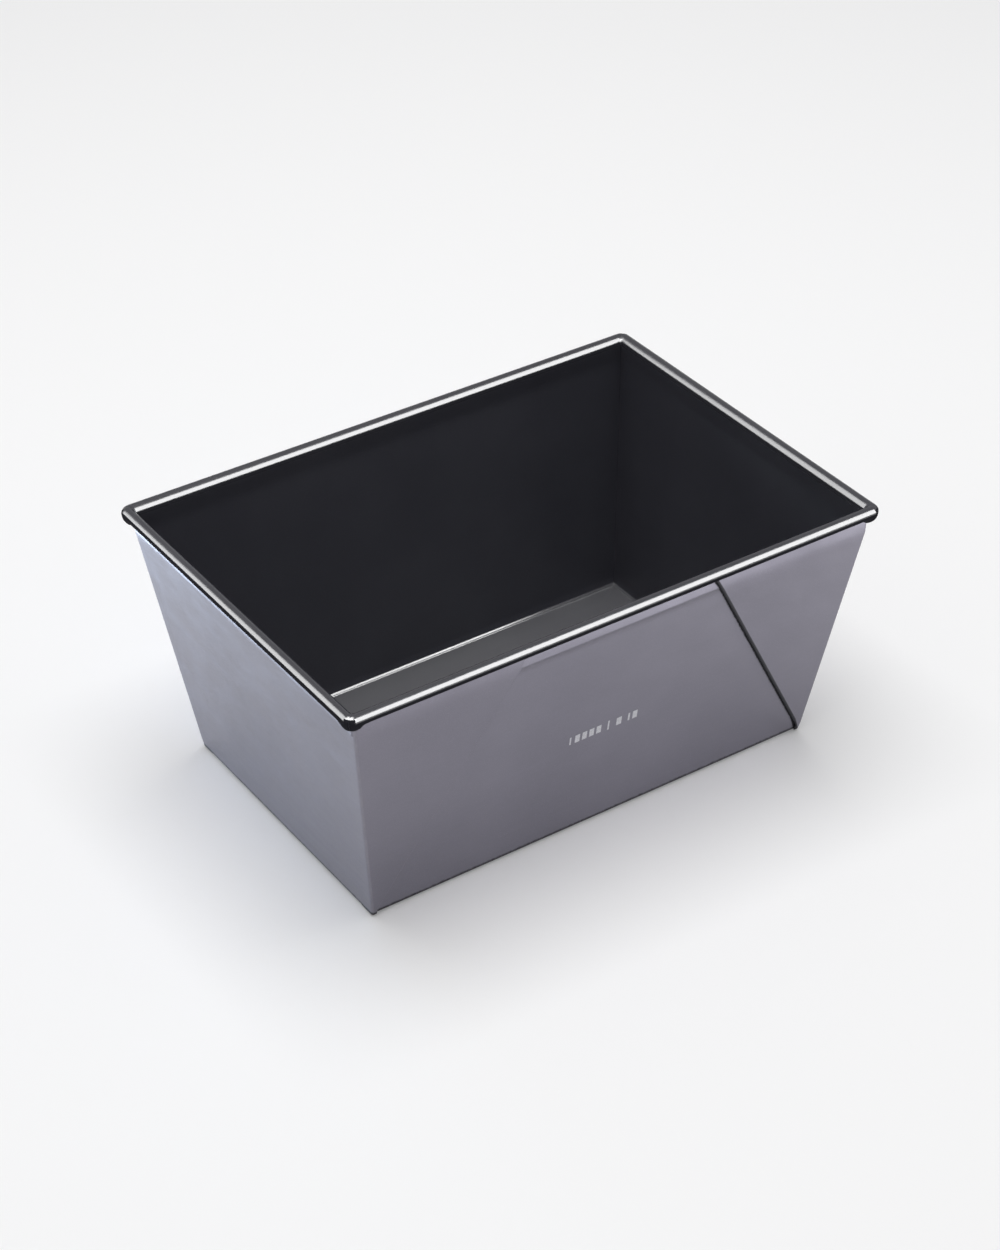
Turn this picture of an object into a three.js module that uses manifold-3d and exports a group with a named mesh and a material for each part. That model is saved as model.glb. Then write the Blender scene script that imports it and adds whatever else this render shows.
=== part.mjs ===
// Loaf pan: one blank of coated sheet steel, folded up into a tapered tub.
// The spare metal of each corner is pinched out, creased and laid flat on the long wall.
// The top of each wall stands upright in a short neck and rolls outward over a steel wire.
// Millimetres, +Z up, +X along the length; the origin is the bottom centre.
import * as THREE from "three";
import { mergeVertices } from "three/addons/utils/BufferGeometryUtils.js";
import Module from "manifold-3d";

const wasm = await Module();
wasm.setup();

// Driving dimensions
const SHEET = 0.5; // thickness of the steel sheet
const GAP = 0.3; // clearance between two panels that touch in the real pan
const BASE_LENGTH = 209.6; // between the outer faces of the end walls, at the table
const BASE_WIDTH = 130.0; // between the outer faces of the side walls, at the table
const RIM_LENGTH = 242.4; // between the wire's centrelines, end to end
const RIM_WIDTH = 168.0; // between the wire's centrelines, side to side
const RIM_HEIGHT = 112.0; // wire centre above the table
const WIRE_RADIUS = 1.75;
const BEAD_RADIUS = 2.7; // outside of the rolled edge
const RIM_CORNER = 3.4; // bend of the wire's centreline at a corner
const BEND_RADIUS = 1.75; // fold between the base and a wall, on the sheet's middle line
const NECK_FOOT = 107.0; // height where the upright neck under the rolled edge starts
const NECK_RADIUS = 5.0; // bend at the foot of the neck
const ROLL_END = -120; // where the rolled edge stops, in degrees round the wire
const FOLD_SLIT = 0.3; // space between the two plies of a corner fold
const FOLD_FOOT = 3.2; // height where a corner fold starts, just above the base bend
const WIRE_BUTT = 0.8; // space between the two ends of the wire
const ARC_STEP = 15; // degrees that one facet of a bend turns
const BEAD_SIDES = 24; // facets of the room that a rolled edge needs
const WIRE_SIDES = 12; // facets round the wire
const SAME_POINT = 1e-4; // points of a mesh that are nearer than this are one
const HEEL_LEAD = 1e-3; // straight bit of the base before a wall's bend

// Values that follow from them
const ROLL_RADIUS = BEAD_RADIUS - SHEET / 2;
const FOLD_PROUD = GAP + 2 * SHEET + FOLD_SLIT; // how far a corner fold stands off its wall
const REACH = 400; // longer than the pan in every direction
const UP = new THREE.Vector3(0, 0, 1);
const rad = THREE.MathUtils.degToRad;

// A wall is described by its half distance at the table and at the wire's centreline.
const END = { base: BASE_LENGTH / 2, rim: RIM_LENGTH / 2 };
const SIDE = { base: BASE_WIDTH / 2, rim: RIM_WIDTH / 2 };

const MATERIALS = {
  outer_coating: new THREE.MeshStandardMaterial({ color: 0x77757f, roughness: 0.42, metalness: 0.6 }),
  inner_coating: new THREE.MeshStandardMaterial({ color: 0x232228, roughness: 0.34, metalness: 0.3 }),
  wire_steel: new THREE.MeshStandardMaterial({ color: 0x9a9a9c, roughness: 0.35, metalness: 1 }),
};

// Closed geometry to manifold solid, and back.
function toSolid(geometry) {
  const bare = geometry.clone();
  bare.deleteAttribute("normal");
  bare.deleteAttribute("uv");
  const merged = mergeVertices(bare, SAME_POINT);
  return new wasm.Manifold(
    new wasm.Mesh({
      numProp: 3,
      vertProperties: merged.attributes.position.array,
      triVerts: new Uint32Array(merged.index.array),
    }),
  );
}

function toGeometry(solid) {
  const { vertProperties, triVerts } = solid.getMesh();
  const geometry = new THREE.BufferGeometry();
  geometry.setAttribute("position", new THREE.BufferAttribute(vertProperties, 3));
  geometry.setIndex(new THREE.BufferAttribute(triVerts, 1));
  geometry.computeVertexNormals();
  return geometry;
}

// Points along a line whose inner corners are rounded, as a folded sheet's are.
function bentLine(corners, radii) {
  const points = [corners[0]];
  for (let i = 1; i < corners.length - 1; i += 1) {
    const before = corners[i].clone().sub(corners[i - 1]).normalize();
    const after = corners[i + 1].clone().sub(corners[i]).normalize();
    const turn = Math.atan2(before.cross(after), before.dot(after));
    const radius = radii[i - 1];
    const start = corners[i].clone().addScaledVector(before, -radius * Math.tan(Math.abs(turn) / 2));
    const side = new THREE.Vector2(-before.y, before.x).multiplyScalar(radius * Math.sign(turn));
    const centre = start.clone().add(side);
    const steps = Math.ceil(Math.abs(turn) / rad(ARC_STEP));
    for (let k = 0; k <= steps; k += 1) {
      points.push(start.clone().rotateAround(centre, (turn * k) / steps));
    }
  }
  points.push(corners[corners.length - 1]);
  return points;
}

// The same line moved sideways, to its left for a positive distance.
function offsetLine(points, distance) {
  return points.map((point, i) => {
    const before = point.clone().sub(points[Math.max(i - 1, 0)]).normalize();
    const after = points[Math.min(i + 1, points.length - 1)].clone().sub(point).normalize();
    const along = before.clone().add(after).normalize();
    const spread = Math.max(before.dot(along), after.dot(along));
    const left = new THREE.Vector2(-along.y, along.x);
    return point.clone().addScaledVector(left, distance / spread);
  });
}

// The closed outline of a sheet of even thickness round its middle line.
function sheetOutline(points, thickness) {
  const left = offsetLine(points, thickness / 2);
  const right = offsetLine(points, -thickness / 2);
  return new THREE.Shape([...left, ...right.reverse()]);
}

// Middle line of a wall's section, outward against height, from the base to the rolled edge.
function wallLine(wall) {
  const neckOut = wall.rim - ROLL_RADIUS;
  const baseOut = wall.base - SHEET / 2;
  const slope = (neckOut - baseOut) / NECK_FOOT;
  const heelUp = SHEET / 2;
  const heelOut = baseOut + slope * heelUp;
  const heelTurn = Math.PI / 2 - Math.atan(slope);
  const heelStart = heelOut - BEND_RADIUS * Math.tan(heelTurn / 2);
  const corners = [
    new THREE.Vector2(heelStart - HEEL_LEAD, heelUp),
    new THREE.Vector2(heelOut, heelUp),
    new THREE.Vector2(neckOut, NECK_FOOT),
    new THREE.Vector2(neckOut, RIM_HEIGHT - GAP / 2),
  ];
  return { points: bentLine(corners, [BEND_RADIUS, NECK_RADIUS]), slope, heelStart };
}

// A section drawn outward against height, made into a long solid that faces +X.
function extrudeWall(shape, length) {
  const geometry = new THREE.ExtrudeGeometry(shape, { depth: length, bevelEnabled: false });
  return toSolid(geometry.translate(0, 0, -length / 2).rotateX(Math.PI / 2));
}

// Everything that lies outside a wall's middle line moved outward by a distance.
function beyondWall(wall, outward) {
  const line = offsetLine(wallLine(wall).points, -outward);
  const outline = new THREE.Shape([
    new THREE.Vector2(line[0].x, -REACH),
    ...line,
    new THREE.Vector2(line[line.length - 1].x, REACH),
    new THREE.Vector2(REACH, REACH),
    new THREE.Vector2(REACH, -REACH),
  ]);
  return extrudeWall(outline, 2 * REACH);
}

// A wall that faces +X, cut off where its two neighbours begin.
function wallPanel(wall, neighbour, outward) {
  const beyond = beyondWall(neighbour, outward);
  return extrudeWall(sheetOutline(wallLine(wall).points, SHEET), REACH)
    .subtract(beyond.rotate([0, 0, 90]))
    .subtract(beyond.rotate([0, 0, -90]));
}

// An end wall is wide enough to cover the edges of the folds beside it, and its top corners
// are notched where the rolled edges of the side walls pass.
function endWall() {
  const bead = new THREE.CylinderGeometry(BEAD_RADIUS + GAP, BEAD_RADIUS + GAP, REACH, BEAD_SIDES);
  const along = toSolid(bead.rotateZ(Math.PI / 2));
  return toGeometry(
    wallPanel(END, SIDE, SHEET / 2 + FOLD_PROUD)
      .subtract(along.translate([0, SIDE.rim, RIM_HEIGHT]))
      .subtract(along.translate([0, -SIDE.rim, RIM_HEIGHT])),
  );
}

// A side wall stops inside the end walls.
function sideWall() {
  return toGeometry(wallPanel(SIDE, END, -SHEET / 2 - GAP));
}

// The flat bottom, which ends where the bends up to the walls begin.
function basePanel() {
  const x = wallLine(END).heelStart - GAP;
  const y = wallLine(SIDE).heelStart - GAP;
  const outline = new THREE.Shape([
    new THREE.Vector2(-x, -y),
    new THREE.Vector2(x, -y),
    new THREE.Vector2(x, y),
    new THREE.Vector2(-x, y),
  ]);
  return new THREE.ExtrudeGeometry(outline, { depth: SHEET, bevelEnabled: false });
}

// Angle between a fold's crease and the bottom edge of its wall: the crease halves the metal
// that is left over where a side wall and an end wall meet, out of the 270 degrees round a corner.
function creaseAngle(sideSlope, endSlope) {
  const corner = new THREE.Vector3(sideSlope, endSlope, 1).normalize();
  const onSide = Math.PI - Math.acos(corner.y);
  const onEnd = Math.PI - Math.acos(corner.x);
  const spare = rad(270) - onSide - onEnd;
  return onSide - spare / 2;
}

// The folded corner metal on the side wall that faces +X, at its +Y end: two plies with a round
// crease between them, cut off inside the end wall, above the base and below the neck.
function cornerFold() {
  const sideSlope = wallLine(SIDE).slope;
  const endSlope = wallLine(END).slope;
  const crease = creaseAngle(sideSlope, endSlope);
  const along = new THREE.Vector3(0, 1, 0);
  const up = new THREE.Vector3(sideSlope, 0, 1).normalize();
  const out = along.clone().cross(up);
  const run = along.clone().multiplyScalar(Math.cos(crease)).addScaledVector(up, -Math.sin(crease));
  const across = out.clone().cross(run);
  const inner = GAP + SHEET / 2;
  const outer = inner + SHEET + FOLD_SLIT;
  const width = BASE_LENGTH / 2; // more than the part of a fold that is left after the cuts
  const plies = bentLine(
    [
      new THREE.Vector2(width, inner),
      new THREE.Vector2(0, inner),
      new THREE.Vector2(0, outer),
      new THREE.Vector2(width, outer),
    ],
    [(outer - inner) / 2, (outer - inner) / 2],
  );
  const distinct = plies.filter((p, i) => i === 0 || p.distanceTo(plies[i - 1]) > SAME_POINT);
  const outline = sheetOutline(distinct, SHEET);
  const geometry = new THREE.ExtrudeGeometry(outline, { depth: BASE_LENGTH, bevelEnabled: false });
  geometry.translate(0, 0, width / 4 - BASE_LENGTH);
  const corner = new THREE.Vector3(SIDE.base, END.base, 0);
  const place = new THREE.Matrix4().makeBasis(across, out, run).setPosition(corner);
  const block = new THREE.BoxGeometry(REACH, REACH, REACH);
  const top = NECK_FOOT - NECK_RADIUS * Math.tan(Math.atan(sideSlope) / 2) - GAP;
  const above = toSolid(block.clone().translate(0, 0, top + REACH / 2));
  const below = toSolid(block.clone().translate(0, 0, FOLD_FOOT - REACH / 2));
  const beyond = beyondWall(END, -SHEET / 2 - GAP).rotate([0, 0, 90]);
  const solid = toSolid(geometry.applyMatrix4(place)).subtract(beyond).subtract(above).subtract(below);
  return toGeometry(solid);
}

// A path through given stations, for an outline to be swept along.
class RimPath extends THREE.Curve {
  constructor(stations) {
    super();
    this.stations = stations;
  }

  station(u) {
    return this.stations[Math.round(u * (this.stations.length - 1))];
  }

  getPointAt(u, target = new THREE.Vector3()) {
    return target.copy(this.station(u).point);
  }

  getTangentAt(u, target = new THREE.Vector3()) {
    return target.copy(this.station(u).tangent);
  }
}

function station(x, y, degrees) {
  const tangent = new THREE.Vector3(0, 1, 0).applyAxisAngle(UP, rad(degrees));
  return { point: new THREE.Vector3(x, y, RIM_HEIGHT), tangent };
}

// Stations round one corner of a rim with the given half distances; angles from +X.
function rimCorner(halfX, halfY, from, to) {
  const middle = rad((from + to) / 2);
  const centreX = Math.sign(Math.cos(middle)) * (halfX - RIM_CORNER);
  const centreY = Math.sign(Math.sin(middle)) * (halfY - RIM_CORNER);
  const steps = (to - from) / ARC_STEP;
  return Array.from({ length: steps + 1 }, (unused, k) => {
    const degrees = from + k * ARC_STEP;
    const x = centreX + RIM_CORNER * Math.cos(rad(degrees));
    const y = centreY + RIM_CORNER * Math.sin(rad(degrees));
    return station(x, y, degrees);
  });
}

// An outline, drawn downward against inward, swept through stations.
function sweep(outline, stations) {
  const options = { steps: stations.length - 1, extrudePath: new RimPath(stations) };
  return new THREE.ExtrudeGeometry(outline, options);
}

// The rolled edge of the wall that faces +X: open underneath, and seamed to its neighbours at
// the middle of each corner.
function rimRoll(wall, neighbour) {
  const from = 180 - THREE.MathUtils.radToDeg(GAP / 2 / ROLL_RADIUS);
  const steps = Math.ceil((from - ROLL_END) / ARC_STEP);
  const line = Array.from({ length: steps + 1 }, (unused, k) => {
    const angle = rad(from + ((ROLL_END - from) * k) / steps);
    return new THREE.Vector2(-ROLL_RADIUS * Math.sin(angle), -ROLL_RADIUS * Math.cos(angle));
  });
  const stations = [
    ...rimCorner(wall.rim, neighbour.rim, -45, 0),
    ...rimCorner(wall.rim, neighbour.rim, 0, 45),
  ];
  const beyond = toSolid(new THREE.BoxGeometry(REACH, REACH, REACH)).translate([0, REACH / 2, 0]);
  const clear = (GAP / 2) * Math.SQRT2;
  return toGeometry(
    toSolid(sweep(sheetOutline(line, SHEET), stations))
      .subtract(beyond.rotate([0, 0, 45]).translate([wall.rim, neighbour.rim - clear, 0]))
      .subtract(beyond.rotate([0, 0, 135]).translate([wall.rim, clear - neighbour.rim, 0])),
  );
}

// The wire in the rolled edge: one loop, with its two ends at the middle of the rear side.
function rimWire() {
  const points = Array.from({ length: WIRE_SIDES }, (unused, k) =>
    new THREE.Vector2(WIRE_RADIUS, 0).rotateAround(new THREE.Vector2(), (2 * Math.PI * k) / WIRE_SIDES),
  );
  const stations = [
    station(-WIRE_BUTT / 2, SIDE.rim, 90),
    ...rimCorner(END.rim, SIDE.rim, 90, 180),
    ...rimCorner(END.rim, SIDE.rim, 180, 270),
    ...rimCorner(END.rim, SIDE.rim, 270, 360),
    ...rimCorner(END.rim, SIDE.rim, 360, 450),
    station(WIRE_BUTT / 2, SIDE.rim, 450),
  ];
  return sweep(new THREE.Shape(points), stations);
}

const pan = new THREE.Group();

function add(name, geometry, slot, turn = 0, mirror = 1) {
  const mesh = new THREE.Mesh(geometry, MATERIALS[slot]);
  mesh.name = name;
  mesh.rotation.z = rad(turn);
  mesh.scale.y = mirror;
  pan.add(mesh);
}

add("base_panel", basePanel(), "inner_coating");

const sides = { rear: 90, front: -90 };
for (const [name, turn] of Object.entries(sides)) {
  add(`${name}_wall`, sideWall(), "outer_coating", turn);
  add(`rim_roll_${name}`, rimRoll(SIDE, END), "inner_coating", turn);
  const rightEnd = name === "front" ? 1 : -1;
  add(`corner_fold_${name}_right`, cornerFold(), "outer_coating", turn, rightEnd);
  add(`corner_fold_${name}_left`, cornerFold(), "outer_coating", turn, -rightEnd);
}

const ends = { right: 0, left: 180 };
for (const [name, turn] of Object.entries(ends)) {
  add(`${name}_end_wall`, endWall(), "outer_coating", turn);
  add(`rim_roll_${name}`, rimRoll(END, SIDE), "inner_coating", turn);
}

add("rim_wire", rimWire(), "wire_steel");

export default pan;
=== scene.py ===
# Loaf pan: the looks of a tub folded from coated sheet steel, with a wired rim.
# Metres, +Z up, +X along the length; the origin is the bottom centre.
import math

import bpy
from mathutils import Matrix, Vector, noise


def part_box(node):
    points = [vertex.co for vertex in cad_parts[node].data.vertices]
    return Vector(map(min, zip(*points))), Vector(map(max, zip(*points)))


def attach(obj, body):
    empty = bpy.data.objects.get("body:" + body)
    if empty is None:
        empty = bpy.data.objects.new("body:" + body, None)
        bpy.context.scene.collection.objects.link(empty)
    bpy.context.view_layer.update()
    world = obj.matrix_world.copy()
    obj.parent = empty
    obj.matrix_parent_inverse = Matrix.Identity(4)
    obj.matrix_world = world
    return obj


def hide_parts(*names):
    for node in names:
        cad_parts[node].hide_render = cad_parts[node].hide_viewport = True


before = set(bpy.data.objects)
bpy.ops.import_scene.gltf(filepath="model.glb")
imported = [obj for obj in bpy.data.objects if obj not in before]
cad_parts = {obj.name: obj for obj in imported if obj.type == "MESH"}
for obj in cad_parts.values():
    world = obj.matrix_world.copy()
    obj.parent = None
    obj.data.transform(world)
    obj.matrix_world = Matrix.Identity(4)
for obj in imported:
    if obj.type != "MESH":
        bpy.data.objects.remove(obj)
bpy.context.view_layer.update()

MM = 0.001

# ---------------------------------------------------------------- dimensions, from the frame
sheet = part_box("base_panel")[1].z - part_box("base_panel")[0].z
roll_lo, roll_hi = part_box("rim_roll_right")
bead_cad = (roll_hi.z - roll_lo.z) / 2
rim_z = (roll_hi.z + roll_lo.z) / 2
rim_x = roll_hi.x - bead_cad
rim_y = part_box("rim_roll_rear")[1].y - bead_cad
neck_foot = 103.4 * MM  # where the upright neck under the rim starts
bend = 1.75 * MM  # fold between the base and a wall, on the sheet's middle line


class Wall:
    """The section of a wall: outward against height, on the sheet's middle line."""

    def __init__(self, heel_start, neck):
        self.neck = neck
        self.slope = 0.14  # a first guess, which the loop settles
        for _ in range(20):
            turn = math.pi / 2 - math.atan(self.slope)
            self.base = heel_start + bend * math.tan(turn / 2) - self.slope * sheet / 2
            self.slope = (neck - self.base) / neck_foot
        self.heel_start = heel_start
        self.turn = turn
        self.lean = math.atan(self.slope)

    def out(self, z):
        return self.base + self.slope * min(z, neck_foot)


end_wall = Wall(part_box("right_end_wall")[0].x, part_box("right_end_wall")[1].x - sheet / 2)
side_wall = Wall(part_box("rear_wall")[0].y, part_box("rear_wall")[1].y - sheet / 2)


# ---------------------------------------------------------------- mesh helpers
def smooth(edge0, edge1, x):
    t = min(max((x - edge0) / (edge1 - edge0), 0), 1)
    return t * t * (3 - 2 * t)


def make_object(name, verts, faces, materials, face_material=None, sharp=35):
    mesh = bpy.data.meshes.new(name)
    mesh.from_pydata([tuple(v) for v in verts], [], faces)
    mesh.validate()
    for material in materials:
        mesh.materials.append(material)
    if face_material is not None:
        for polygon, index in zip(mesh.polygons, face_material):
            polygon.material_index = index
    mesh.polygons.foreach_set("use_smooth", [True] * len(mesh.polygons))
    mesh.set_sharp_from_angle(angle=math.radians(sharp))
    mesh.update()
    obj = bpy.data.objects.new(name, mesh)
    bpy.context.scene.collection.objects.link(obj)
    return obj


def add_attribute(obj, name, values):
    attribute = obj.data.attributes.new(name, "FLOAT", "POINT")
    attribute.data.foreach_set("value", values)


def grid_faces(rows, columns, wrap_rows=False, wrap_columns=False, start=0, flip=False):
    faces = []
    for i in range(rows if wrap_rows else rows - 1):
        for j in range(columns if wrap_columns else columns - 1):
            a = start + i * columns + j
            b = start + i * columns + (j + 1) % columns
            c = start + ((i + 1) % rows) * columns + (j + 1) % columns
            d = start + ((i + 1) % rows) * columns + j
            faces.append((a, d, c, b) if flip else (a, b, c, d))
    return faces


# ---------------------------------------------------------------- material helpers
class Nodes:
    """A short way to write a material's node tree."""

    def __init__(self, name):
        self.material = bpy.data.materials.new(name)
        self.material.use_nodes = True
        self.tree = self.material.node_tree
        self.shader = self.tree.nodes["Principled BSDF"]
        self.place = self.add("ShaderNodeTexCoord").outputs["Object"]

    def add(self, kind, **settings):
        node = self.tree.nodes.new(kind)
        for key, value in settings.items():
            setattr(node, key, value)
        return node

    def link(self, source, target):
        self.tree.links.new(source, target)

    def noise(self, scale, detail=2.0, roughness=0.5, place=None):
        node = self.add("ShaderNodeTexNoise")
        node.inputs["Scale"].default_value = scale
        node.inputs["Detail"].default_value = detail
        node.inputs["Roughness"].default_value = roughness
        self.link(place or self.place, node.inputs["Vector"])
        return node.outputs["Fac"]

    def stretched(self, x, y, z):
        node = self.add("ShaderNodeMapping")
        node.inputs["Scale"].default_value = (x, y, z)
        self.link(self.place, node.inputs["Vector"])
        return node.outputs["Vector"]

    def coordinate(self, axis):
        node = self.add("ShaderNodeSeparateXYZ")
        self.link(self.place, node.inputs["Vector"])
        return node.outputs[axis]

    def span(self, source, from_min, from_max, to_min, to_max):
        node = self.add("ShaderNodeMapRange")
        for key, value in (
            ("From Min", from_min),
            ("From Max", from_max),
            ("To Min", to_min),
            ("To Max", to_max),
        ):
            node.inputs[key].default_value = value
        self.link(source, node.inputs["Value"])
        return node.outputs["Result"]

    def math(self, operation, a, b=None):
        node = self.add("ShaderNodeMath", operation=operation)
        for socket, value in zip(node.inputs, (a, b)):
            if value is None:
                continue
            if isinstance(value, (int, float)):
                socket.default_value = value
            else:
                self.link(value, socket)
        return node.outputs["Value"]

    def mix(self, factor, a, b):
        node = self.add("ShaderNodeMix", data_type="RGBA")
        for key, value in ((0, factor), (6, a), (7, b)):
            if isinstance(value, (int, float, tuple)):
                node.inputs[key].default_value = value
            else:
                self.link(value, node.inputs[key])
        return node.outputs[2]

    def attribute(self, name):
        return self.add("ShaderNodeAttribute", attribute_name=name).outputs["Fac"]

    def bump(self, height, strength, distance, normal=None):
        node = self.add("ShaderNodeBump")
        node.inputs["Strength"].default_value = strength
        node.inputs["Distance"].default_value = distance
        self.link(height, node.inputs["Height"])
        if normal is not None:
            self.link(normal, node.inputs["Normal"])
        return node.outputs["Normal"]

    def finish(self, color=None, roughness=None, normal=None, **constants):
        for name, source in (("Base Color", color), ("Roughness", roughness), ("Normal", normal)):
            if source is not None:
                self.link(source, self.shader.inputs[name])
        for name, value in constants.items():
            self.shader.inputs[name.replace("_", " ")].default_value = value
        return self.material


def outer_coating():
    """Satin graphite paint, with painted shade in its creases and crevices and round the heel."""
    n = Nodes("outer_coating_look")
    cloud = n.noise(14, 3, 0.55)
    tint = n.mix(
        n.span(cloud, 0.3, 0.7, 0, 1), (0.189, 0.182, 0.220, 1), (0.215, 0.207, 0.248, 1)
    )
    flake = n.noise(5200, 1, 0.5)
    tint = n.mix(n.span(flake, 0.56, 0.8, 0, 0.30), tint, (0.42, 0.41, 0.47, 1))
    wear = n.math("MULTIPLY", n.attribute("edge"), n.span(n.noise(160, 3, 0.6), 0.42, 0.7, 0.3, 1))
    tint = n.mix(n.math("MULTIPLY", wear, 0.16), tint, (0.50, 0.49, 0.50, 1))
    # how far a point lies on the wall's side of the crease, as if it were nearer at the foot
    beside = n.math("ADD", n.math("MULTIPLY", n.coordinate("X"), -CREASE_RISE), CREASE_PLACE)
    beside = n.math("ADD", beside, n.math("MULTIPLY", n.coordinate("Z"), -CREASE_REACH))
    nearer = n.span(n.coordinate("Z"), 2.0 * MM, 8.5 * MM, -0.9 * MM, 0)
    beside = n.math("ADD", beside, nearer)
    fray = n.span(n.noise(700, 3, 0.6), 0.3, 0.7, -0.2 * MM, 0.2 * MM)
    ragged = n.math("ADD", beside, fray)
    # painted shade: a dark strip on the wall beside each right crease, where the crevice's shadow
    # falls
    on_wall = n.span(ragged, 0.1 * MM, 0.5 * MM, 1, 0)
    painted_shade = n.math("MULTIPLY", on_wall, n.span(beside, -1.3 * MM, -0.9 * MM, 0, 1))
    painted_shade = n.math("MAXIMUM", painted_shade, n.attribute("painted_crevice_shade"))
    # painted shade round the heel, which leaves the flat underside clean
    fray = n.span(n.noise(500, 3, 0.6), 0.3, 0.7, -0.3 * MM, 0.3 * MM)
    low = n.math("ADD", n.coordinate("Z"), fray)
    heel_shade = n.span(n.coordinate("Z"), 0.1 * MM, 0.6 * MM, 0, 1)
    heel_shade = n.math("MULTIPLY", heel_shade, n.span(low, 1.6 * MM, 2.7 * MM, 1, 0))
    painted_shade = n.math("MAXIMUM", painted_shade, heel_shade)
    # the painted shade turns the paint near black
    tint = n.mix(n.math("MULTIPLY", painted_shade, 0.93), tint, (0.018, 0.018, 0.020, 1))
    streak = n.noise(30, 3, 0.6, n.stretched(1.0, 1.0, 14.0))
    rough = n.span(streak, 0.3, 0.7, 0.31, 0.37)
    rough = n.math("ADD", rough, n.span(n.noise(90, 3, 0.6), 0.35, 0.75, 0, 0.05))
    rough = n.math("ADD", rough, n.math("MULTIPLY", painted_shade, 0.3))
    peel = n.bump(n.noise(1500, 2, 0.5), 0.12, 0.04 * MM)
    normal = n.bump(flake, 0.10, 0.02 * MM, peel)
    return n.finish(tint, rough, normal, Metallic=0.80)


def inner_coating(name, smoothest, roughest, ior, shine, depth=1.0):
    """Dark non-stick coating, with painted light that makes it a little paler on the flat base of
    the tub.

    Its roughness runs from smoothest to roughest, shine is its specular level, and a depth
    below 1 makes it darker, for painted shade.
    """
    n = Nodes(name)
    cloud = n.noise(18, 3, 0.55)
    dark = (0.030 * depth, 0.030 * depth, 0.038 * depth, 1)
    light = (0.038 * depth, 0.038 * depth, 0.047 * depth, 1)
    tint = n.mix(n.span(cloud, 0.3, 0.7, 0, 1), dark, light)
    # painted light: the flat base is paler, where the light from above falls
    painted_base_light = n.span(n.coordinate("Z"), 1.0 * MM, 2.2 * MM, 1, 0)
    pale = n.mix(n.noise(40, 4, 0.6), (0.072, 0.072, 0.079, 1), (0.088, 0.088, 0.095, 1))
    tint = n.mix(painted_base_light, tint, pale)
    fleck = n.noise(3800, 1, 0.5)
    tint = n.mix(n.span(fleck, 0.55, 0.8, 0, 0.25 * depth), tint, (0.08, 0.08, 0.09, 1))
    rough = n.span(n.noise(60, 2, 0.5), 0.0, 1.0, smoothest, roughest)
    peel = n.bump(n.noise(1200, 2, 0.5), 0.12, 0.04 * MM)
    return n.finish(tint, rough, peel, Metallic=0.0, IOR=ior, Specular_IOR_Level=shine)


def wire_steel():
    """Drawn steel, with fine lines along the wire."""
    n = Nodes("wire_steel_look")
    draw = n.noise(900, 3, 0.6, n.stretched(0.05, 0.05, 1.0))
    tint = n.mix(n.span(draw, 0.3, 0.7, 0, 1), (0.42, 0.42, 0.43, 1), (0.60, 0.60, 0.61, 1))
    rough = n.span(draw, 0.3, 0.7, 0.25, 0.42)
    return n.finish(tint, rough, n.bump(draw, 0.2, 0.03 * MM), Metallic=1.0)


def mark_ink():
    """Pale ink, worn in small patches."""
    n = Nodes("mark_ink_look")
    worn = n.noise(2600, 3, 0.6)
    tint = n.mix(n.span(worn, 0.35, 0.6, 0, 1), (0.42, 0.42, 0.46, 1), (0.66, 0.66, 0.70, 1))
    rough = n.span(worn, 0.3, 0.7, 0.45, 0.6)
    return n.finish(tint, rough, n.bump(worn, 0.2, 0.02 * MM))


# The crease of the front right fold, on the wall: from under the rim down to the base.
CREASE_TOP = Vector((46.1 * MM, 0, 104.1 * MM))
CREASE_FOOT = Vector((103.0 * MM, 0, 3.2 * MM))
crease_run = (CREASE_FOOT - CREASE_TOP).normalized()
CREASE_RISE, CREASE_REACH = -crease_run.z, crease_run.x
CREASE_PLACE = CREASE_TOP.x * CREASE_RISE + CREASE_TOP.z * CREASE_REACH

OUTER = outer_coating()
INNER = inner_coating("inner_coating_look", 0.27, 0.33, 1.45, 0.32)
BEAD = inner_coating("rim_coating_look", 0.17, 0.24, 1.70, 0.5)
DULL = inner_coating("dull_coating_look", 0.50, 0.60, 1.45, 0.12)
# painted shade: a darker copy of the rim coating, its reflection turned down, for the rolled edge's
# underside and corners
SHADED = inner_coating("painted_shade_coating_look", 0.50, 0.60, 1.12, 0.10, 0.5)
WIRE = wire_steel()
INK = mark_ink()
TUB_LOOKS = [OUTER, INNER, DULL, BEAD]
OUTSIDE, INSIDE, INNER_CORNERS, INNER_BEND = range(4)  # places in that list
ROLL_LOOKS = [BEAD, OUTER, SHADED]
ROLL_TOP, ROLL_UNDER, ROLL_SHADED = range(3)

# ---------------------------------------------------------------- the folded tub
FLAT_RINGS = 7  # rings of faces on the base
BEND_STEPS = 7  # facets of the bend between the base and a wall
WALL_STEPS = 30  # rings of faces up a wall
NECK_STEPS = 5  # facets of the bend at the foot of the neck
CORNER_STEPS = 6  # facets round an upright corner
SIDE_STEPS = {0: 40, 1: 28}  # pieces along a long and a short side
CORNER_RADIUS = 0.8 * MM  # upright corners, on the middle line
INNER_CORNER = 0.10 * MM  # upright corners, on the inside face
BASE_CORNER = CORNER_RADIUS * 1.6  # corners of the flat base
HEEL_FILL = 0.35 * MM  # how much fuller the inside of the base bend is
NECK_BEND_OUT, NECK_BEND_IN = 5 * MM, 30 * MM  # radius of the neck's foot, outside and inside
# the outside of the neck leans in by twice this: on the end walls, on the long walls
END_SHOULDER, SIDE_SHOULDER = 0.36 * MM, 0.12 * MM
neck_top = rim_z - 1.6 * MM  # where the tub hands over to the rolled edge
bead = bead_cad - 0.10 * MM  # outside of the rolled edge on the straight sides
roll = bead - sheet / 2


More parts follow.
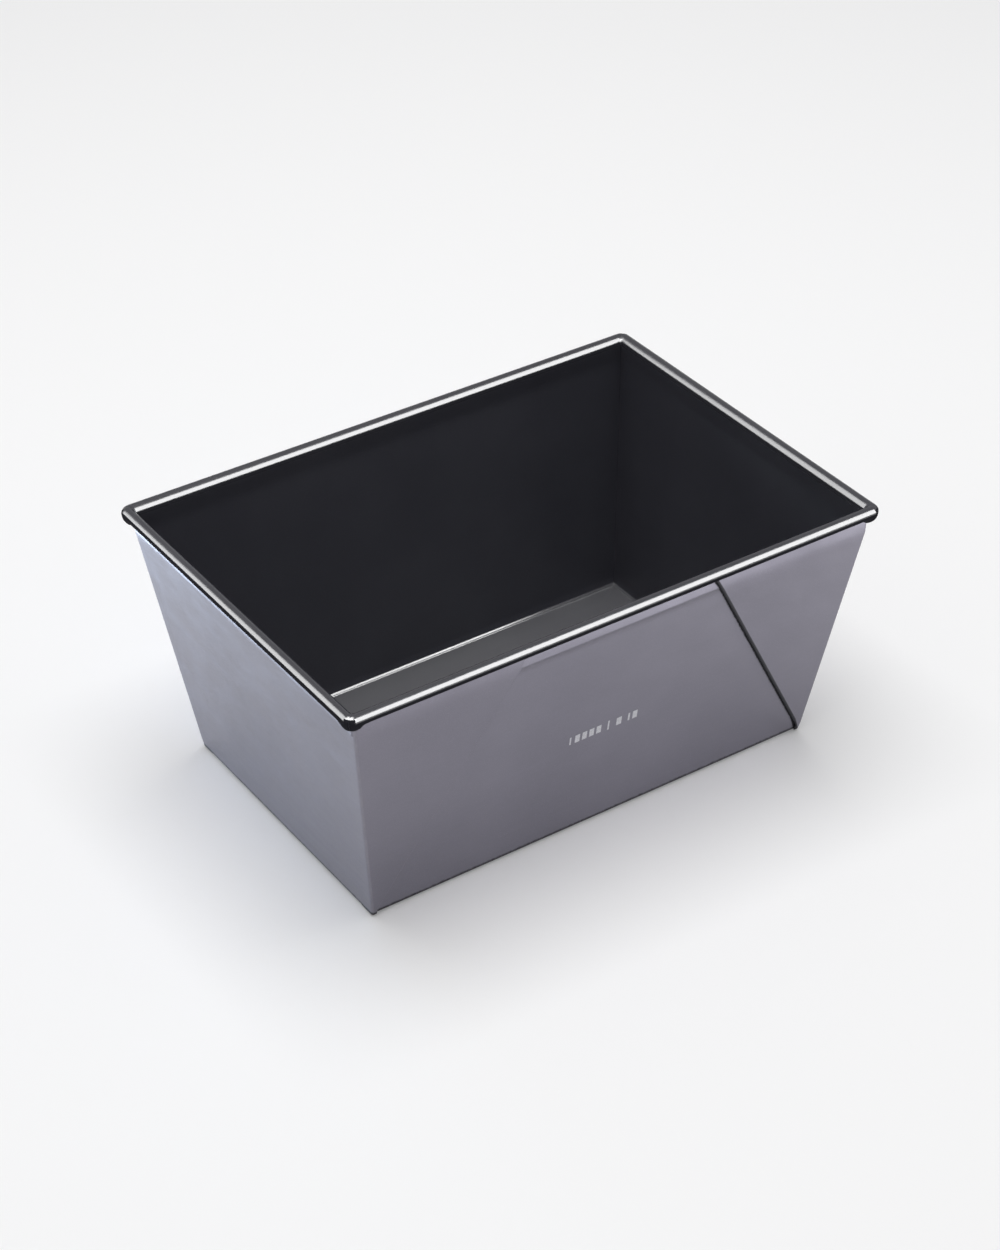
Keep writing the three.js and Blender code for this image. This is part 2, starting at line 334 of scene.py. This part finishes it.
def section(wall, offset):
    """Points of one face of the sheet, from the flat base to the top of the neck."""
    half = offset * sheet / 2
    points = [(wall.heel_start, sheet / 2 - half)]
    for k in range(1, BEND_STEPS + 1):
        a = wall.turn * k / BEND_STEPS
        radius = bend + half
        x = wall.heel_start + radius * math.sin(a)
        z = sheet / 2 + bend - radius * math.cos(a)
        if offset < 0:  # the inside of the bend is fuller
            fill = HEEL_FILL * math.sin(2 * a) ** 2
            x, z = x - fill * math.sin(a), z + fill * math.cos(a)
        points.append((x, z))
    across = (math.cos(wall.lean), -math.sin(wall.lean))
    start_z = sheet / 2 + bend * (1 - math.cos(wall.turn))
    neck_radius, shoulder = NECK_BEND_IN, 0
    if offset > 0:
        neck_radius = NECK_BEND_OUT
        shoulder = END_SHOULDER if wall is end_wall else SIDE_SHOULDER
    run = neck_radius * math.tan(wall.lean / 2)
    stop_z = neck_foot - run * math.cos(wall.lean)
    for k in range(1, WALL_STEPS + 1):
        z = start_z + (stop_z - start_z) * k / WALL_STEPS
        points.append((wall.out(z) + half * across[0], z + half * across[1]))
    centre_x = wall.neck + shoulder - neck_radius
    centre_z = neck_foot + run
    for k in range(1, NECK_STEPS + 1):
        a = wall.lean * (1 - k / NECK_STEPS)
        x = centre_x + (neck_radius + half) * math.cos(a)
        z = centre_z - (neck_radius + half) * math.sin(a)
        points.append((x, z))
    points.append((wall.neck + half - shoulder, neck_top))
    return points


def ring(x, zx, y, zy, radius):
    """A rounded rectangle whose sides may lie at two heights, which its corners join."""
    points = []
    quarter = (
        (1, 1, 0, zx, zy),
        (-1, 1, 90, zy, zx),
        (-1, -1, 180, zx, zy),
        (1, -1, 270, zy, zx),
    )
    corners = []
    for sx, sy, from_deg, z_from, z_to in quarter:
        arc = []
        for k in range(CORNER_STEPS + 1):
            f = k / CORNER_STEPS
            a = math.radians(from_deg + 90 * f)
            corner_x = sx * (x - radius) + radius * math.cos(a)
            corner_y = sy * (y - radius) + radius * math.sin(a)
            arc.append(Vector((corner_x, corner_y, z_from + (z_to - z_from) * f)))
        corners.append(arc)
    for i, arc in enumerate(corners):
        points += arc
        following = corners[(i + 1) % 4][0]
        steps = SIDE_STEPS[i % 2]
        for k in range(1, steps):
            f = 0.5 - 0.5 * math.cos(math.pi * (k / steps))  # closer together near the corners
            points.append(arc[-1].lerp(following, f))
    return points


WAVE = 0.22 * MM  # the most that the sheet bulges
CALM = 22 * MM  # how far from a corner or the base the bulges are at their full height


def on_long_wall(point):
    return abs(point.y) > side_wall.out(point.z) - 3 * MM


def waviness(point):
    """How far the sheet bulges out of its plane, in metres."""
    calm = smooth(2 * MM, CALM, point.z) * smooth(0, 16 * MM, neck_foot - point.z)
    along_x = smooth(0, CALM, end_wall.out(point.z) - abs(point.x))
    along_y = smooth(0, CALM, side_wall.out(point.z) - abs(point.y))
    edge = along_x if on_long_wall(point) else along_y
    place = Vector((point.x * 13, point.y * 13, point.z * 11))
    return calm * edge * WAVE * noise.noise(place)


def tub_surface(offset):
    """The outside (offset 1) or the inside (offset -1) of the tub, as rings of points."""
    ends, sides = section(end_wall, offset), section(side_wall, offset)
    radius = CORNER_RADIUS + sheet / 2 if offset > 0 else INNER_CORNER
    rings, edges = [], []
    for k in range(1, FLAT_RINGS + 1):  # the flat base, from its middle outward
        f = k / (FLAT_RINGS + 1)
        z = ends[0][1]
        rings.append(ring(ends[0][0] * f, z, sides[0][0] * f, z, BASE_CORNER * f))
        edges.append(0.0)
    for k, (e, s) in enumerate(zip(ends, sides)):
        blend = smooth(0, 9, k)
        corner = radius * blend + BASE_CORNER * (1 - blend)
        rings.append(ring(e[0], e[1], s[0], s[1], corner))
        edges.append(1.0 if 2 <= k <= 6 else 0.0)
    columns = len(rings[0])
    verts, edge = [], []
    for points, worn in zip(rings, edges):
        for p in points:
            out = Vector((math.copysign(1, p.x), 0, 0))
            if on_long_wall(p):
                out = Vector((0, math.copysign(1, p.y), 0))
            verts.append(p + out * waviness(p))
            edge.append(worn)
    return verts, edge, len(rings), columns


def build_tub():
    """The base and the walls as one sheet."""
    outer, edge_out, rows, columns = tub_surface(1)
    inner, edge_in, _, _ = tub_surface(-1)
    count = len(outer)
    verts = outer + inner
    faces = grid_faces(rows, columns, wrap_columns=True, flip=True)
    kinds = [OUTSIDE] * len(faces)
    faces += grid_faces(rows, columns, wrap_columns=True, start=count)
    in_corner = set()  # the columns that go round an upright corner
    first = 0
    for i in range(4):
        in_corner.update(range(first, first + CORNER_STEPS))
        first += CORNER_STEPS + SIDE_STEPS[i % 2]
    for i in range(rows - 1):
        in_bend = FLAT_RINGS <= i < FLAT_RINGS + BEND_STEPS
        row_kinds = [INNER_BEND if in_bend else INSIDE] * columns
        for j in in_corner if i >= FLAT_RINGS else ():
            row_kinds[j] = INNER_CORNERS
        kinds += row_kinds
    faces.append(tuple(reversed(range(columns))))  # the middle of the base, below and above
    kinds.append(OUTSIDE)
    faces.append(tuple(count + j for j in range(columns)))
    kinds.append(INSIDE)
    last = (rows - 1) * columns
    for j in range(columns):
        a, b = last + j, last + (j + 1) % columns
        faces.append((b, a, count + a, count + b))
        kinds.append(INSIDE)
    tub = make_object("pan_body", verts, faces, TUB_LOOKS, kinds, sharp=50)
    add_attribute(tub, "edge", edge_out + edge_in)
    tub.data.polygons.foreach_set("use_smooth", [kind != INNER_CORNERS for kind in kinds])
    return tub


tub = build_tub()
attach(tub, "root")
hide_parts("base_panel", "front_wall", "rear_wall", "left_end_wall", "right_end_wall")

# ---------------------------------------------------------------- the rolled edge
NECK_INNER_RADIUS = CORNER_RADIUS
RIM_OUTER_RADIUS = 4.0 * MM  # rounding of the rim's outer corners, seen from above
WIDEST = 5  # where its upper facets end, in degrees round the wire, up from level
ROLL_OPEN = -135  # where the rolled edge stops, in the same degrees
SEAM = 0.035 * MM  # how far a rolled edge keeps from the mitre at a corner
PINCH = 0.08 * MM  # how much slimmer the rolled edge is at a corner
FLARE = 1.25  # above 1 the way up from the neck is flatter than a circle
CORNER_RUN = 9 * MM  # how far from a corner its changes to the rolled edge reach
CORNER_DROP = 0.65  # how much lower the rolled edge hangs at a corner, as a share
CORNER_OPENING = 60  # how much earlier it stops there, in degrees
UPPER_STEPS, LOWER_STEPS = 18, 11  # facets of the rolled edge, above and below its widest point
ROLL_STEPS = 40  # pieces along the straight part
MITRE = (45, 36, 27, 18, 9)  # stations round half a corner, in degrees from the straight part
CORNER_SHADED = 4  # facets above the widest point that carry painted shade at a corner


def roll_section(corner, offset):
    """Outward and upward places on one face of the rolled sheet; corner is 1 at a corner."""
    half = offset * sheet / 2
    drop = 1 + CORNER_DROP * smooth(0.6, 1.0, corner)
    stop = ROLL_OPEN + CORNER_OPENING * smooth(0.85, 1.0, corner)
    points = [(-roll + half, neck_top - rim_z)]
    turns = [180 + (WIDEST - 180) * k / UPPER_STEPS for k in range(UPPER_STEPS + 1)]
    turns += [WIDEST + (stop - WIDEST) * k / LOWER_STEPS for k in range(1, LOWER_STEPS + 1)]
    for a in map(math.radians, turns):
        radius = roll - half
        out, up = radius * math.cos(a), radius * math.sin(a)
        if out < 0 < up:
            out = -radius * abs(math.cos(a)) ** FLARE
            up = radius * abs(math.sin(a)) ** FLARE
        points.append((out, up if up > 0 else up * drop))
    return points


def rim_point(u, up, half_x, half_y, f, corner_angle, side):
    """A point of the rim that faces +X: f runs along its straight part, then round a corner."""
    share = min(max((u + bead) / (2 * bead), 0), 1)
    radius = NECK_INNER_RADIUS + (RIM_OUTER_RADIUS - NECK_INNER_RADIUS) * share
    x = half_x + u
    y = half_y + u
    if corner_angle == 0:
        return Vector((x, f * (y - radius), rim_z + up))
    a = math.radians(corner_angle)
    corner_x = x - radius + radius * math.cos(a)
    corner_y = y - radius + radius * math.sin(a)
    return Vector((corner_x, side * corner_y, rim_z + up))


def build_roll(name, half_x, half_y, neck_x, turn, shaded):
    """One rolled edge; its outside takes painted shade from a number of facets above its widest
    point.
    """
    shift = neck_x + roll - half_x  # the roll starts where the tub's neck ends
    stations = [(-1, a, -1) for a in MITRE]
    for k in range(ROLL_STEPS + 1):
        stations.append((-math.cos(math.pi * k / ROLL_STEPS), 0, 0))
    stations += [(1, a, 1) for a in reversed(MITRE)]
    outer, inner = [], []
    for f, angle, side in stations:
        away = (1 - abs(f)) * half_y
        corner = 1 - smooth(0, CORNER_RUN, away) if angle == 0 else 1.0
        squeeze = 1 - PINCH * smooth(30, MITRE[0], angle) / bead
        for store, offset in ((outer, -1), (inner, 1)):
            row = []
            for u, up in roll_section(corner, offset):
                rise = up * squeeze if up > 0 else up
                p = rim_point(u * squeeze + shift, rise, half_x, half_y, f, angle, side)
                if angle == MITRE[0]:
                    p.y -= side * SEAM
                row.append(p)
            store.append(row)
    columns = len(outer[0])
    rows = len(outer)
    verts = [p for row in outer for p in row] + [p for row in inner for p in row]
    count = rows * columns
    faces = grid_faces(rows, columns)
    kinds = []
    for i in range(rows - 1):
        at_corner = stations[i][1] > 0 and stations[i + 1][1] > 0
        # the facets past this one take the painted shade
        bright = UPPER_STEPS - (CORNER_SHADED if at_corner else shaded)
        kinds += [ROLL_TOP if j <= bright else ROLL_SHADED for j in range(columns - 1)]
    faces += grid_faces(rows, columns, start=count, flip=True)
    for i in range(rows - 1):  # the sheet's edge in the roll, and the one on the neck
        for j, turned in ((columns - 1, False), (0, True)):
            a, b = i * columns + j, (i + 1) * columns + j
            face = (a, count + a, count + b, b)
            faces.append(tuple(reversed(face)) if turned else face)
    for i, turned in ((0, True), (rows - 1, False)):  # the sheet's edge at the two mitres
        for j in range(columns - 1):
            a, b = i * columns + j, i * columns + j + 1
            face = (a, b, count + b, count + a)
            faces.append(tuple(reversed(face)) if turned else face)
    kinds += [ROLL_UNDER] * (len(faces) - len(kinds))
    obj = make_object(name, verts, faces, ROLL_LOOKS, kinds, sharp=50)
    obj.data.transform(Matrix.Rotation(math.radians(turn), 4, "Z"))
    add_attribute(obj, "edge", [0.0] * len(verts))
    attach(obj, "root")
    return obj


beads = []
for name, half_x, half_y, neck, turn, shaded in (
    ("right", rim_x, rim_y, end_wall.neck, 0, 2),
    ("left", rim_x, rim_y, end_wall.neck, 180, 2),
    ("rear", rim_y, rim_x, side_wall.neck, 90, 0),
    ("front", rim_y, rim_x, side_wall.neck, 270, 0),
):
    beads.append(build_roll(f"rim_bead_{name}", half_x, half_y, neck, turn, shaded))
    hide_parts(f"rim_roll_{name}")

# ---------------------------------------------------------------- corner folds
PLIES = 1.05 * MM  # the doubled sheet
CREASE_STEPS, EDGE_STEPS, FLAT_STEPS, FOLD_STEPS = 10, 8, 12, 44  # facets
BURIED = 0.08 * MM  # how far a fold's hidden side lies inside the wall
LIP = 0.02 * MM  # how far its edge stands off the end wall
FOLD_EDGE = 1.2 * MM  # rounding of its edge along the pan's upright corner
OPEN_REACH = 6 * MM  # how far from the crease it comes down on the wall
FOLD_FOOT, FOLD_TUCK = 0.9 * MM, 0.2 * MM  # where it starts, and how far that end is tucked in
FOOT_SHARE = 0.85  # how thick the plies are at the foot, as a share
EDGE_SHADE = {"front_right": 0.7}  # painted shade on the edge, as a share; the others have none
# how far it stands off the wall at its crease
OPEN = {
    "front_right": 0.42 * MM,
    "front_left": 0.12 * MM,
    "rear_right": 0.30 * MM,
    "rear_left": 0.30 * MM,
}


def fold_section(z, plies, gap, edge_shade):
    """Points round a fold at one height, with what each is: (x, y, edge, painted crevice shade)."""
    wall_y = side_wall.out(z) + sheet / 2 / math.cos(side_wall.lean)
    wall_x = end_wall.out(z) + sheet / 2 / math.cos(end_wall.lean)
    f = (z - CREASE_FOOT.z) / (CREASE_TOP.z - CREASE_FOOT.z)
    crease_x = CREASE_FOOT.x + (CREASE_TOP.x - CREASE_FOOT.x) * f
    nose = plies / 2
    proud = plies + gap
    edge_radius = min(FOLD_EDGE, proud)
    stop = wall_x - edge_radius
    crease_x = min(crease_x, stop - plies - 0.4 * MM)
    first = crease_x + nose
    hold = first + min(OPEN_REACH, 0.7 * (stop - first))
    # the last value is painted shade: 1 in the crevice under the crease, where its shadow falls
    points = [(hold, wall_y - BURIED, 0, 1)]
    points.append((first + 0.3 * (hold - first), wall_y + 0.7 * gap, 0, 1))
    for k in range(CREASE_STEPS + 1):  # the round crease
        a = math.radians(270 - 180 * k / CREASE_STEPS)
        x, y = first + nose * math.cos(a), wall_y + gap + nose + nose * math.sin(a)
        points.append((x, y, 0, 1 - smooth(2, 5, k)))
    near = min(0.5 * MM, 0.3 * (stop - first))
    for k in range(FLAT_STEPS + 1):
        x = first + near + (stop - first - 2 * near) * k / FLAT_STEPS
        points.append((x, wall_y + proud, 0, 0))
    for k in range(EDGE_STEPS + 1):  # round the upright corner
        a = math.radians(90 - 90 * k / EDGE_STEPS)
        x = stop + (edge_radius + LIP) * math.cos(a)
        y = wall_y + proud - edge_radius + edge_radius * math.sin(a)
        # painted shade on the upright edge, darker where it turns away
        points.append((x, y, 1 if 2 <= k <= 6 else 0, edge_shade * smooth(3, 6, k)))
    points.append((wall_x + LIP, wall_y - 1 * MM, 0, 0))
    points.append((wall_x + LIP * 0.7, wall_y - 4 * MM, 0, 0))
    points.append((wall_x - BURIED, wall_y - 7 * MM, 0, 0))
    points.append((wall_x - 2 * BURIED, wall_y - 2 * BURIED, 0, 0))
    points.append((wall_x - FOLD_EDGE, wall_y - 2 * BURIED, 0, 0))
    return points


def build_fold(place, side_x, side_y):
    """A fold, thinner and tucked in at its foot; its sections are closer together there."""
    top = rim_z - bead + 0.4 * MM  # inside the rolled edge
    heights = []
    for k in range(FOLD_STEPS + 1):
        heights.append(FOLD_FOOT + (top - FOLD_FOOT) * (k / FOLD_STEPS) ** 1.45)
    verts, edge, painted_crevice_shade = [], [], []
    for z in heights:
        grow = smooth(FOLD_FOOT - 2.5 * MM, 5 * MM, z)
        tuck = (1 - grow) * FOLD_TUCK
        plies = PLIES * (FOOT_SHARE + (1 - FOOT_SHARE) * grow)
        gap = OPEN[place] * grow
        for x, y, worn, dark in fold_section(z, plies, gap, EDGE_SHADE.get(place, 0)):
            verts.append(Vector((x * side_x, (y - tuck) * side_y, z)))
            edge.append(worn)
            painted_crevice_shade.append(dark)
    columns = len(verts) // len(heights)
    flip = side_x * side_y > 0
    faces = grid_faces(len(heights), columns, wrap_columns=True, flip=flip)
    bottom = tuple(range(columns))
    top_face = tuple((len(heights) - 1) * columns + j for j in range(columns))
    faces.append(bottom if flip else tuple(reversed(bottom)))
    faces.append(tuple(reversed(top_face)) if flip else top_face)
    obj = make_object(f"fold_{place}", verts, faces, [OUTER], sharp=50)
    add_attribute(obj, "edge", edge)
    add_attribute(obj, "painted_crevice_shade", painted_crevice_shade)
    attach(obj, "root")
    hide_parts(f"corner_fold_{place}")
    return obj


folds = []
for row_name, side_y in (("front", -1), ("rear", 1)):
    for column_name, side_x in (("left", -1), ("right", 1)):
        folds.append(build_fold(f"{row_name}_{column_name}", side_x, side_y))

# ---------------------------------------------------------------- wire and printed mark
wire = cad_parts["rim_wire"]
wire.data.materials.clear()
wire.data.materials.append(WIRE)

# A plain row of bars on the front wall: left edge and width in mm, height as a share.
BARS = (
    (0, 0.7, 1),
    (2.6, 2.2, 1),
    (6.0, 2.2, 1),
    (9.4, 2.2, 1),
    (12.8, 2.2, 1),
    (18.2, 0.7, 1.25),
    (22.4, 2.4, 1),
    (28.0, 0.8, 1),
    (30.2, 2.2, 1),
)
MARK_DEPTH = 0.05 * MM  # the bars reach this far in front of the wall and into it
MARK_LEFT, MARK_HEIGHT, MARK_Z = -17.5 * MM, 3.9 * MM, 51.5 * MM


def build_mark():
    """The bars, as flat blocks that follow the wall's lean and bulge."""
    lean = side_wall.lean
    up = Vector((0, -math.sin(lean), math.cos(lean)))
    out = Vector((0, -math.cos(lean), -math.sin(lean)))
    base = Vector((0, -(side_wall.out(MARK_Z) + sheet / 2 / math.cos(lean)), MARK_Z))
    verts, faces = [], []
    for left, width, tall in BARS:
        half = MARK_HEIGHT * tall / 2
        x0, x1 = MARK_LEFT + left * MM, MARK_LEFT + (left + width) * MM
        push = -waviness(base + Vector(((x0 + x1) / 2, 0, 0)))
        s = len(verts)
        for depth in (-MARK_DEPTH, MARK_DEPTH):
            for x, h in ((x0, -half), (x1, -half), (x1, half), (x0, half)):
                verts.append(base + Vector((x, push, 0)) + up * h + out * depth)
        faces += [(s + 3, s + 2, s + 1, s), (s + 4, s + 5, s + 6, s + 7)]
        for k in range(4):
            m = (k + 1) % 4
            faces.append((s + k, s + m, s + 4 + m, s + 4 + k))
    return make_object("front_mark_bars", verts, faces, [INK], sharp=30)


mark = build_mark()
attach(mark, "root")

# ---------------------------------------------------------------- floor, light and camera
def floor_material():
    n = Nodes("floor_look")
    n.shader.inputs["Base Color"].default_value = (0.76, 0.76, 0.764, 1)
    n.shader.inputs["Roughness"].default_value = 0.9
    n.shader.inputs["Specular IOR Level"].default_value = 0.0
    n.shader.inputs["Emission Color"].default_value = (1, 1, 1, 1)
    n.shader.inputs["Emission Strength"].default_value = 0.12
    return n.material


FLOOR_HALF = 6.0
FLOOR_Z = -0.05 * MM  # clear of the pan's underside
around = ((-1, -1), (1, -1), (1, 1), (-1, 1))
floor = make_object(
    "floor",
    [(FLOOR_HALF * x, FLOOR_HALF * y, FLOOR_Z) for x, y in around],
    [(0, 1, 2, 3)],
    [floor_material()],
)

COOL = (0.80, 0.98, 1.10)
AIM = Vector((0, 0, 0.08))  # what the lights face, above the middle of the pan


def softbox(
    name, direction, distance, width, height, radiance, diffuse=True, glossy=True, tint=(1, 1, 1)
):
    """A soft light; direction runs from the pan to the light."""
    light = bpy.data.lights.new(name, "AREA")
    light.color = tint
    light.shape = "RECTANGLE"
    light.size, light.size_y = width, height
    light.energy = radiance * math.pi * width * height
    obj = bpy.data.objects.new(name, light)
    back = Vector(direction).normalized()
    obj.location = AIM + back * distance
    obj.rotation_mode = "QUATERNION"
    obj.rotation_quaternion = back.to_track_quat("Z", "Y")
    obj.visible_diffuse = diffuse
    obj.visible_glossy = glossy
    obj.visible_camera = False
    bpy.context.scene.collection.objects.link(obj)
    return obj


def light_only(lights, pieces, name):
    """Lights that fall on some pieces only."""
    receivers = bpy.data.collections.new(name)
    for piece in pieces:
        receivers.objects.link(piece)
    for light in lights:
        light.light_linking.receiver_collection = receivers


light_only(
    (
        softbox("softbox_front", (0.455, -0.81, 0.34), 1.7, 1.7, 2.2, 12, diffuse=False),
        softbox("softbox_left", (-0.75, 0.47, 0.42), 1.7, 1.4, 1.7, 7, diffuse=False),
        softbox("softbox_corner", (-0.43, -0.37, 0.78), 1.7, 3.2, 1.0, 12, diffuse=False),
    ),
    beads + [wire, mark],
    "rim",
)
light_only(
    (
        softbox("strip_left", (-0.62, 0.76, -0.12), 0.42, 0.45, 0.06, 50, diffuse=False, tint=COOL),
        softbox("strip_front", (0.56, -0.82, -0.12), 0.41, 0.50, 0.06, 14, diffuse=False),
        softbox("softbox_low", (-0.41, 0.90, 0.13), 1.7, 1.8, 0.40, 21, diffuse=False, tint=COOL),
        softbox("softbox_back", (0.0, 0.72, 0.69), 1.7, 0.9, 0.8, 4.5, diffuse=False),
    ),
    [tub] + folds,
    "walls",
)
light_only(
    (softbox("softbox_high", (0.455, -0.50, 0.73), 1.7, 1.2, 0.5, 15, diffuse=False),),
    [tub],
    "tub",
)
softbox("softbox_small", (-0.24, -0.04, 0.95), 1.7, 1.0, 1.0, 14, diffuse=False)
softbox("softbox_top", (0, 0.05, 1), 1.7, 1.4, 1.4, 3.9, glossy=False)

world = bpy.data.worlds.new("studio")
world.use_nodes = True
world.node_tree.nodes["Background"].inputs["Color"].default_value = (1, 1, 1, 1)
world.node_tree.nodes["Background"].inputs["Strength"].default_value = 0.45
bpy.context.scene.world = world

# The viewpoint of the photograph, from a camera fitted to the pan's corners and edges.
CAMERA = Vector((-0.5400, -0.8065, 0.7390))
YAW, PITCH, ROLL = math.radians(33.79), math.radians(35.08), math.radians(-0.59)
level = Vector((math.sin(YAW), math.cos(YAW), 0))
forward = Vector((level.x * math.cos(PITCH), level.y * math.cos(PITCH), -math.sin(PITCH)))
right = forward.cross(Vector((0, 0, 1))).normalized()
up = right.cross(forward)
camera_x = right * math.cos(ROLL) + up * math.sin(ROLL)
camera_y = up * math.cos(ROLL) - right * math.sin(ROLL)
camera = bpy.data.objects.new("camera", bpy.data.cameras.new("camera"))
camera.data.sensor_width = 36
camera.data.lens = 84.3
camera.matrix_world = Matrix((camera_x, camera_y, -forward)).transposed().to_4x4()
camera.location = CAMERA
bpy.context.scene.collection.objects.link(camera)
bpy.context.scene.camera = camera

bpy.context.scene.view_settings.view_transform = "Standard"

bpy.context.view_layer.update()
